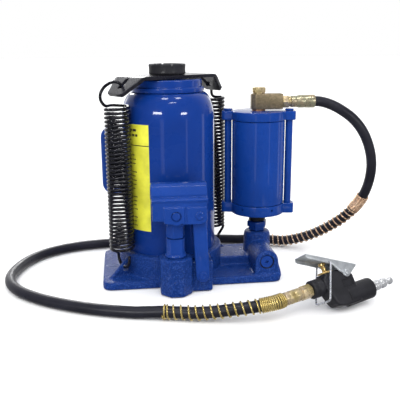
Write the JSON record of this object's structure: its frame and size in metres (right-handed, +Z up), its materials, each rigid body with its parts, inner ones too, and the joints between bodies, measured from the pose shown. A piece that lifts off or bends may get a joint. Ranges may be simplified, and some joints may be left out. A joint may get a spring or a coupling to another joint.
{
  "type": "bottle jack",
  "caption": "Air and hydraulic bottle jack with a hand pump, return springs, an air motor, and a hose with a lever valve.",
  "frame": {"origin": "on the ram's axis, at the floor under the base plate", "axes": "+Z up along the ram, +X towards the air motor, -Y towards the hand pump"},
  "size_m": [0.4812, 0.2941, 0.265],
  "materials": {
    "cast_blue": "gloss enamel over rough cast iron",
    "tank_blue": "gloss enamel",
    "plug_rubber": "matt",
    "gasket": "matt",
    "inner_tube": "ground",
    "nut_blue": "gloss enamel",
    "wiper": "matt",
    "ram_steel": "ground",
    "ram_seal": "matt",
    "screw_steel": "ground",
    "saddle_black": "black oxide, satin",
    "yoke_black": "black oxide, satin",
    "spring_black_left": "black oxide",
    "spring_black_right": "black oxide",
    "handle_blue": "gloss enamel",
    "pump_blue": "gloss enamel",
    "plunger_blue": "gloss enamel",
    "socket_blue": "gloss enamel",
    "plunger_pin_blue": "gloss enamel",
    "link_upper_pin_blue": "gloss enamel",
    "link_lower_pin_blue": "gloss enamel",
    "link_blue_front": "gloss enamel",
    "link_blue_rear": "gloss enamel",
    "release_blue": "gloss enamel",
    "bottom_cap_blue": "gloss enamel",
    "top_cap_blue": "gloss enamel",
    "motor_blue": "gloss enamel",
    "tie_blue_-1": "gloss enamel",
    "tie_blue_1": "gloss enamel",
    "neck_black": "black oxide, satin",
    "lock_nut_blue": "gloss enamel",
    "piston_alloy": "machined",
    "piston_seal": "matt",
    "plunger_steel": "ground",
    "spring_steel": "ground",
    "block_zinc": "yellow zinc plate",
    "washer_copper": "soft copper",
    "bolt_zinc": "yellow zinc plate",
    "nut_zinc": "yellow zinc plate",
    "ferrule_zinc": "yellow zinc plate",
    "valve_black": "black anodised",
    "collar_black": "black anodised",
    "fitting_zinc": "yellow zinc plate",
    "plug_chrome": "bright",
    "guide_brass": "turned",
    "stem_brass": "turned",
    "lever_zinc": "bright zinc plate",
    "lever_pin_zinc": "bright zinc plate",
    "bail_zinc": "bright zinc plate",
    "hose_black": "ribbed matt",
    "rear_guard_copper": "copper-toned plated wire",
    "front_guard_zinc": "yellow zinc plated wire"
  },
  "bodies": {
    "base": {"base_casting": "cast_blue", "reservoir_tank": "tank_blue", "tank_gasket": "gasket", "tank_top_nut": "nut_blue", "rod_wiper_seal": "wiper", "hydraulic_cylinder": "inner_tube", "oil_filler_plug": "plug_rubber", "carry_handle": "handle_blue", "pump_cylinder": "pump_blue", "link_lower_pin": "link_lower_pin_blue", "motor_bottom_cap": "bottom_cap_blue", "motor_cylinder": "motor_blue", "motor_top_cap": "top_cap_blue", "tie_bolt_left": "tie_blue_-1", "tie_bolt_right": "tie_blue_1", "motor_neck": "neck_black", "motor_lock_nut": "lock_nut_blue", "banjo_washer": "washer_copper", "banjo_block": "block_zinc", "banjo_bolt": "bolt_zinc", "hose_nut": "nut_zinc", "hose_ferrule": "ferrule_zinc", "air_hose": "hose_black", "hose_guard_rear": "rear_guard_copper", "hose_guard_front": "front_guard_zinc", "hose_end_fitting": "fitting_zinc", "valve_collar": "collar_black", "valve_body": "valve_black", "valve_plug": "plug_chrome", "stem_guide": "guide_brass", "lever_pin": "lever_pin_zinc", "return_spring_left": "spring_black_left", "return_spring_right": "spring_black_right", "motor_return_spring": "spring_steel"},
    "ram": {"ram": "ram_steel", "ram_piston_seal": "ram_seal", "spring_yoke": "yoke_black"},
    "extension_screw": {"extension_screw": "screw_steel"},
    "saddle": {"saddle": "saddle_black"},
    "pump_plunger": {"pump_plunger": "plunger_blue"},
    "handle_socket": {"handle_socket": "socket_blue", "plunger_pin": "plunger_pin_blue", "link_upper_pin": "link_upper_pin_blue"},
    "pump_link": {"pump_link_front": "link_blue_front", "pump_link_rear": "link_blue_rear"},
    "release_valve": {"release_valve": "release_blue"},
    "air_piston": {"motor_piston": "piston_alloy", "motor_piston_seal": "piston_seal", "air_plunger": "plunger_steel"},
    "valve_lever": {"valve_lever": "lever_zinc"},
    "valve_stem": {"valve_stem": "stem_brass"},
    "lever_bail": {"lever_bail": "bail_zinc"}
  },
  "joints": [
    {"name": "ram_lift", "type": "slide", "parent": "base", "child": "ram", "axis": [0, 0, 1], "range_m": [0, 0.15], "stiffness_N_per_m": 500, "springref_m": -0.06, "deforming": ["return_spring_left", "return_spring_right"]},
    {"name": "screw_lift", "type": "slide", "parent": "ram", "child": "extension_screw", "axis": [0, 0, 1], "range_m": [0, 0.06]},
    {"name": "saddle_turn", "type": "hinge", "parent": "extension_screw", "child": "saddle", "pos_m": [0, 0, 0.2584], "axis": [0, 0, 1], "range_deg": [0, 3600]},
    {"name": "plunger_slide", "type": "slide", "parent": "base", "child": "pump_plunger", "axis": [0, 0, 1], "range_m": [0, 0.0175]},
    {"name": "handle_swing", "type": "hinge", "parent": "pump_plunger", "child": "handle_socket", "pos_m": [0, -0.079, 0.0985], "axis": [0, 1, 0], "range_deg": [0, 40]},
    {"name": "link_swing", "type": "hinge", "parent": "base", "child": "pump_link", "pos_m": [0.031, -0.079, 0.023], "axis": [0, 1, 0], "range_deg": [-4.5, 0]},
    {"name": "motor_stroke", "type": "slide", "parent": "base", "child": "air_piston", "axis": [0, 0, -1], "range_m": [0, 0.03], "stiffness_N_per_m": 600, "springref_m": -0.02, "deforming": ["motor_return_spring"]},
    {"name": "release_turn", "type": "hinge", "parent": "base", "child": "release_valve", "pos_m": [0.1145, -0.06, 0.026], "axis": [0, -1, 0], "range_deg": [0, 360]},
    {"name": "lever_press", "type": "hinge", "parent": "base", "child": "valve_lever", "pos_m": [0.18109, -0.13795, 0.03528], "axis": [0.2749, -0.8036, 0.5279], "range_deg": [0, 10], "stiffness_Nm_per_rad": 1.5, "springref_deg": -5.73},
    {"name": "stem_slide", "type": "slide", "parent": "base", "child": "valve_stem", "axis": [0.267, -0.4636, -0.8448], "range_m": [0, 0.0037]},
    {"name": "bail_swing", "type": "hinge", "parent": "valve_lever", "child": "lever_bail", "pos_m": [0.16106, -0.13678, 0.04748], "axis": [-0.2749, 0.8036, -0.5279], "range_deg": [-8, 8]}
  ],
  "couplings": [
    {"joint": "screw_lift", "follows": "saddle_turn", "m_per_rad": 0.000954},
    {"joint": "plunger_slide", "follows": "handle_swing", "m_per_rad": 0.0246},
    {"joint": "link_swing", "follows": "handle_swing", "ratio": -0.1},
    {"joint": "stem_slide", "follows": "lever_press", "m_per_rad": 0.02}
  ]
}
